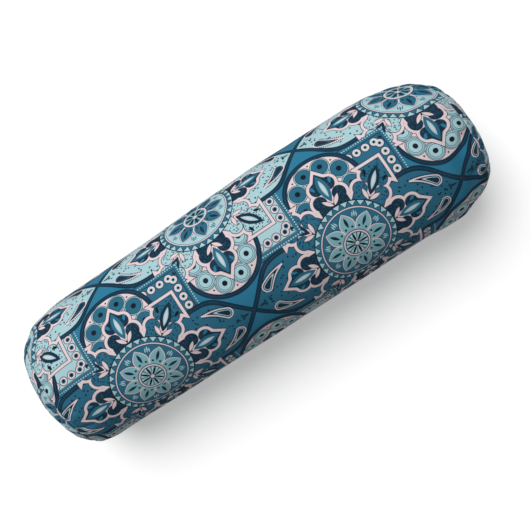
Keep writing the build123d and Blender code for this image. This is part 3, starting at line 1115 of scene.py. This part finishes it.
# ---- Zip chain ----
# Two coils of polyester monofilament, wound flat and sewn one to the edge of each tape. Their turns come to
# the middle by turns, half a pitch apart, as they do when the zip is shut.

COIL_PITCH = 0.0013
COIL_WIRE = 0.00028  # the filament's radius
COIL_NEAR = 0.0003  # the coil's heads and its sewn edge, from the zip's middle line
COIL_FAR = 0.00305
COIL_SIDES = 5
COIL_STEPS = 9

coil_low, coil_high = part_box("zip_coil_upper")
coil_top = RADIUS + 0.0009
coil_bottom = RADIUS - 0.0011
COIL_TURNS = int((coil_high.x - coil_low.x) / COIL_PITCH)


def onto_zip(form, across=0):
    """Takes a shape from the zip's flat layout to its place. Flat, x runs along the zip, y down from its
    middle line and z out from the bolster's axis."""
    turn = Matrix.Rotation(-ZIP_ANGLE - across / RADIUS, 4, "X")
    bmesh.ops.transform(form, matrix=Matrix.Translation((0, 0, AXIS_HEIGHT)) @ turn, verts=form.verts)


coil_finish, shader = new_finish("zip_coil", Coat_Weight=0.1, Coat_Roughness=0.3)
gloss = texture("Noise", on_piece(), Scale=700)
lay_on(shader, ink((0.012, 0.036, 0.056, 1), (0.026, 0.075, 0.112, 1), gloss), gloss * 0.2 + 0.28, gloss, 0.00004)

for name, side in (("zip_coil_upper", -1), ("zip_coil_lower", 1)):
    coil_form = bmesh.new()
    bmesh.ops.create_circle(coil_form, segments=COIL_SIDES, radius=COIL_WIRE)
    coil_round = (COIL_FAR - COIL_NEAR) / 2 - COIL_WIRE
    start = Matrix.Translation((coil_low.x + COIL_WIRE + (side > 0) * COIL_PITCH / 2, 0, coil_round))
    bmesh.ops.transform(coil_form, matrix=start @ Matrix.Rotation(math.pi / 2, 4, "X"), verts=coil_form.verts)
    bmesh.ops.spin(
        coil_form,
        geom=coil_form.verts[:] + coil_form.edges[:],
        axis=(side, 0, 0),
        cent=(0, 0, 0),
        dvec=(COIL_PITCH / COIL_STEPS, 0, 0),
        steps=COIL_STEPS,
        angle=2 * math.pi,
    )
    bmesh.ops.recalc_face_normals(coil_form, faces=coil_form.faces)
    flatten = (coil_top - coil_bottom) / 2 / (coil_round + COIL_WIRE)
    bmesh.ops.scale(coil_form, vec=(1, 1, flatten), verts=coil_form.verts)
    middle = (0, side * (COIL_NEAR + COIL_FAR) / 2, (coil_top + coil_bottom) / 2)
    bmesh.ops.translate(coil_form, vec=middle, verts=coil_form.verts)
    onto_zip(coil_form)
    coil = add_piece(name + "_turns", coil_form, coil_finish)
    turns = coil.modifiers.new("turns", "ARRAY")
    turns.count = COIL_TURNS - 1
    turns.use_relative_offset = False
    turns.use_constant_offset = True
    turns.constant_offset_displace = (COIL_PITCH, 0, 0)
    turns.use_merge_vertices = True
    turns.merge_threshold = 1e-5
    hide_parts(name)


# ---- Topstitching ----
# A row of lockstitch each side of the zip, through the cover's folded edge and the tape. Each stitch bites
# into the cloth at its ends.

STITCH_PITCH = 0.0031
STITCH_LENGTH = 0.0027
STITCH_WIDTH = 0.00062
STITCH_HEIGHT = 0.00066
STITCH_OFF_ZIP = 0.0075
STITCH_LEAN = 0.07

topstitch_finish = thread_finish("topstitch_thread", (0.045, 0.120, 0.180, 1))
stitch_low, stitch_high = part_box("zip_topstitch_upper")
for name, side in (("zip_topstitch_upper", -1), ("zip_topstitch_lower", 1)):
    row_form = bmesh.new()
    stitches = int((stitch_high.x - stitch_low.x) / STITCH_PITCH)
    for i in range(stitches):
        x = (i - (stitches - 1) / 2) * STITCH_PITCH
        lean = Matrix.Rotation(STITCH_LEAN * side, 4, "Z")
        size = Matrix.Diagonal((STITCH_LENGTH / 2, STITCH_WIDTH / 2, STITCH_HEIGHT / 2, 1))
        lie = Matrix.Translation((x, 0, RADIUS)) @ lean @ size @ Matrix.Rotation(math.pi / 2, 4, "Y")
        bmesh.ops.create_uvsphere(row_form, u_segments=6, v_segments=6, radius=1, matrix=lie)
    onto_zip(row_form, side * STITCH_OFF_ZIP)
    row = add_piece(name + "_thread", row_form, topstitch_finish)
    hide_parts(name)


# ---- Zip stops ----
# Bent strips of soft metal, crimped over the chain's ends: a pair at the top and one across the bottom.

BRIGHT_SCUFF = (0.62, 0.60, 0.56, 1)

stop_finish, shader = new_finish("stop_metal", Metallic=1.0)
scuffs = texture("Noise", on_piece(), Scale=1400, Detail=5)
lay_on(shader, ink((0.36, 0.37, 0.38, 1), BRIGHT_SCUFF, scuffs), scuffs * 0.3 + 0.25, scuffs, 0.00006)
refinish("zip_top_stops", stop_finish)
refinish("zip_bottom_stop", stop_finish)


# ---- Zip slider ----
# A die-cast zinc slider in matching enamel: two plates joined by a thin post at the nose, side walls that
# guide the coils, and an arched bridge for the pull. The enamel is worn off along its edges.

SLIDER_LENGTH = 0.011
SLIDER_WIDTH = 0.0084
SLIDER_PLATE = 0.0009
SLIDER_TOP = RADIUS + 0.0019
SLIDER_BOTTOM = RADIUS - 0.0030
SLIDER_WALL = 0.0008
SIDE_WALL_BOTTOM = RADIUS - 0.0009
SIDE_WALL_SHORTER = 0.0018  # than the plates, at each end
PLATE_CORNER = 0.0016
SLIDER_TAIL = 0.9  # its tail's width as a share of its nose's
POST_HALF = 0.00022
POST_FROM_NOSE = (0.0029, 0.0006)
BRIDGE_LENGTH = 0.0076
BRIDGE_WIDTH = 0.0014
BRIDGE_LEG = 0.0011
BRIDGE_RISE = 0.0022

slider_low, slider_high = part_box("zip_slider_body")
slider_x = (slider_low.x + slider_high.x) / 2
nose = slider_x + SLIDER_LENGTH / 2
tail = slider_x - SLIDER_LENGTH / 2


def enamel_finish(name, wear):
    """Glossy enamel over zinc, worn through to the metal in places as wear goes from 0 to 1."""
    finish, shader = new_finish(name, Coat_Roughness=0.2, Specular_IOR_Level=0.3)
    chips = texture("Noise", on_piece(), Scale=1600, Detail=5)
    bare = calc("MULTIPLY_ADD", chips, 9, 9 * wear - 7.2, clamp=True)
    enamel = ink((0.012, 0.036, 0.058, 1), (0.022, 0.062, 0.095, 1), chips)
    enamel = ink(enamel, (0.52, 0.53, 0.54, 1), bare)
    wire(bare, shader.inputs["Metallic"])
    wire((1 - bare) * 0.4, shader.inputs["Coat Weight"])
    lay_on(shader, enamel, chips * 0.15 + bare * 0.1 + 0.22, chips, 0.00003)
    return finish


enamel = enamel_finish("slider_enamel", 0.1)
worn_enamel = enamel_finish("slider_enamel_worn", 0.42)


def add_block(form, low, high):
    """Adds a plain block between two corners and gives its vertices."""
    low, high = Vector(low), Vector(high)
    size = Matrix.Diagonal((*(high - low), 1))
    return bmesh.ops.create_cube(form, size=1, matrix=Matrix.Translation((low + high) / 2) @ size)["verts"]


def round_corners(form, verts, across, radius, segments):
    """Rounds those edges of a block that run across in the given direction: 1 for y, 2 for z."""
    edges = {edge for vert in verts for edge in vert.link_edges}
    chosen = []
    for edge in edges:
        run = edge.verts[1].co - edge.verts[0].co
        if abs(run[across]) > 0.9 * run.length:
            chosen.append(edge)
    bevel(form, chosen, "EDGES", radius, segments)


def soften(piece, width, worn):
    """Softens a metal piece's edges, where its enamel is worn."""
    piece.data.materials.append(worn)
    edges = piece.modifiers.new("softened_edges", "BEVEL")
    edges.width = width
    edges.segments = 2
    edges.limit_method = "ANGLE"
    edges.angle_limit = math.radians(40)
    edges.material = 1
    for polygon in piece.data.polygons:
        polygon.use_smooth = False


slider_form = bmesh.new()
wide = SLIDER_WIDTH / 2
for low_z in (SLIDER_TOP - SLIDER_PLATE, SLIDER_BOTTOM):
    plate = add_block(slider_form, (tail, -wide, low_z), (nose, wide, low_z + SLIDER_PLATE))
    round_corners(slider_form, plate, 2, PLATE_CORNER, 5)
for side in (-1, 1):
    low_y, high_y = sorted((side * (wide - SLIDER_WALL), side * wide))
    add_block(
        slider_form,
        (tail + SIDE_WALL_SHORTER, low_y, SIDE_WALL_BOTTOM),
        (nose - SIDE_WALL_SHORTER, high_y, SLIDER_TOP - SLIDER_PLATE / 2),
    )
for vert in slider_form.verts:
    vert.co.y *= 1 - (1 - SLIDER_TAIL) * (nose - vert.co.x) / SLIDER_LENGTH
add_block(
    slider_form,
    (nose - POST_FROM_NOSE[0], -POST_HALF, SLIDER_BOTTOM + SLIDER_PLATE / 2),
    (nose - POST_FROM_NOSE[1], POST_HALF, SLIDER_TOP - SLIDER_PLATE / 2),
)
bridge = bmesh.new()
leg = Matrix.Translation((slider_x + (BRIDGE_LENGTH - BRIDGE_LEG) / 2, 0, SLIDER_TOP))
leg_size = Matrix.Diagonal((BRIDGE_LEG, BRIDGE_WIDTH, 1, 1))
bmesh.ops.create_grid(bridge, x_segments=1, y_segments=1, size=0.5, matrix=leg @ leg_size)
bmesh.ops.spin(
    bridge,
    geom=bridge.faces[:] + bridge.edges[:] + bridge.verts[:],
    axis=(0, -1, 0),
    cent=(slider_x, 0, SLIDER_TOP),
    steps=18,
    angle=math.pi,
)
arch = Matrix.Translation((-slider_x, 0, -SLIDER_TOP))
bmesh.ops.scale(bridge, vec=(1, 1, 2 * BRIDGE_RISE / BRIDGE_LENGTH), space=arch, verts=bridge.verts)
bmesh.ops.recalc_face_normals(bridge, faces=bridge.faces)
bridge_mesh = bpy.data.meshes.new("bridge")
bridge.to_mesh(bridge_mesh)
bridge.free()
slider_form.from_mesh(bridge_mesh)
bpy.data.meshes.remove(bridge_mesh)
onto_zip(slider_form)
slider = add_piece("zip_slider_casting", slider_form, enamel, "zip_slider")
soften(slider, 0.00018, worn_enamel)
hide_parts("zip_slider_body")


# ---- Zip pull ----
# The pull hangs on its own round pin under the bridge: two arms, and a tongue with a sunk face and a hole
# near its tip. Cast and enamelled like the slider.

PULL_PIN = 0.0005  # the pin's radius
PULL_EYE_WIDTH = 0.0042
PULL_EYE_GAP = 0.0018
PULL_REACH = 0.0055  # from the pin to the tongue
TONGUE_LENGTH = 0.024
TONGUE_WIDTH = 0.007
TONGUE_THICKNESS = 0.001
TONGUE_HOLE = 0.0015
HOLE_FROM_TIP = 0.004
TONGUE_BORDER = 0.0007
TONGUE_SUNK = 0.00022
TIP_CORNER = 0.0029
NEAR_CORNER = 0.0018

pull_z = SLIDER_TOP + PULL_PIN + 0.00015
tongue_near = slider_x - PULL_REACH
tongue_tip = tongue_near - TONGUE_LENGTH

pull_form = bmesh.new()
outline = Matrix.Translation(((tongue_near + tongue_tip) / 2, 0, pull_z - TONGUE_THICKNESS / 2))
outline_size = Matrix.Diagonal((TONGUE_LENGTH, TONGUE_WIDTH, 1, 1))
bmesh.ops.create_grid(pull_form, x_segments=1, y_segments=1, size=0.5, matrix=outline @ outline_size)
for end_x, rounding in ((tongue_tip, TIP_CORNER), (tongue_near, NEAR_CORNER)):
    corners = [vert for vert in pull_form.verts if abs(vert.co.x - end_x) < 1e-4]
    bevel(pull_form, corners, "VERTICES", rounding, 7)
bmesh.ops.delete(pull_form, geom=pull_form.faces[:], context="FACES_ONLY")
hole_place = Matrix.Translation((tongue_tip + HOLE_FROM_TIP, 0, pull_z - TONGUE_THICKNESS / 2))
bmesh.ops.create_circle(pull_form, segments=28, radius=TONGUE_HOLE, matrix=hole_place)
bmesh.ops.bridge_loops(pull_form, edges=pull_form.edges[:])
raised = bmesh.ops.extrude_face_region(pull_form, geom=pull_form.faces[:])["geom"]
bmesh.ops.translate(pull_form, vec=(0, 0, TONGUE_THICKNESS), verts=verts_of(raised))
bmesh.ops.recalc_face_normals(pull_form, faces=pull_form.faces)
tongue_front = [face for face in pull_form.faces if face.normal.z > 0.9]
bmesh.ops.inset_region(
    pull_form,
    faces=tongue_front,
    thickness=TONGUE_BORDER,
    depth=-TONGUE_SUNK,
    use_boundary=True,
    use_even_offset=True,
)
for side in (-1, 1):
    low_y, high_y = sorted((side * PULL_EYE_GAP / 2, side * PULL_EYE_WIDTH / 2))
    add_block(
        pull_form,
        (tongue_near - 0.0006, low_y, pull_z - PULL_PIN * 0.9),
        (slider_x, high_y, pull_z + PULL_PIN * 0.9),
    )
pin_place = Matrix.Translation((slider_x, 0, pull_z)) @ Matrix.Rotation(math.pi / 2, 4, "X")
bmesh.ops.create_cone(
    pull_form,
    cap_ends=True,
    segments=20,
    radius1=PULL_PIN,
    radius2=PULL_PIN,
    depth=PULL_EYE_WIDTH,
    matrix=pin_place,
)
onto_zip(pull_form)
pull = add_piece("zip_pull_tongue", pull_form, enamel, "zip_pull_tab")
soften(pull, 0.00012, worn_enamel)
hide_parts("zip_pull")
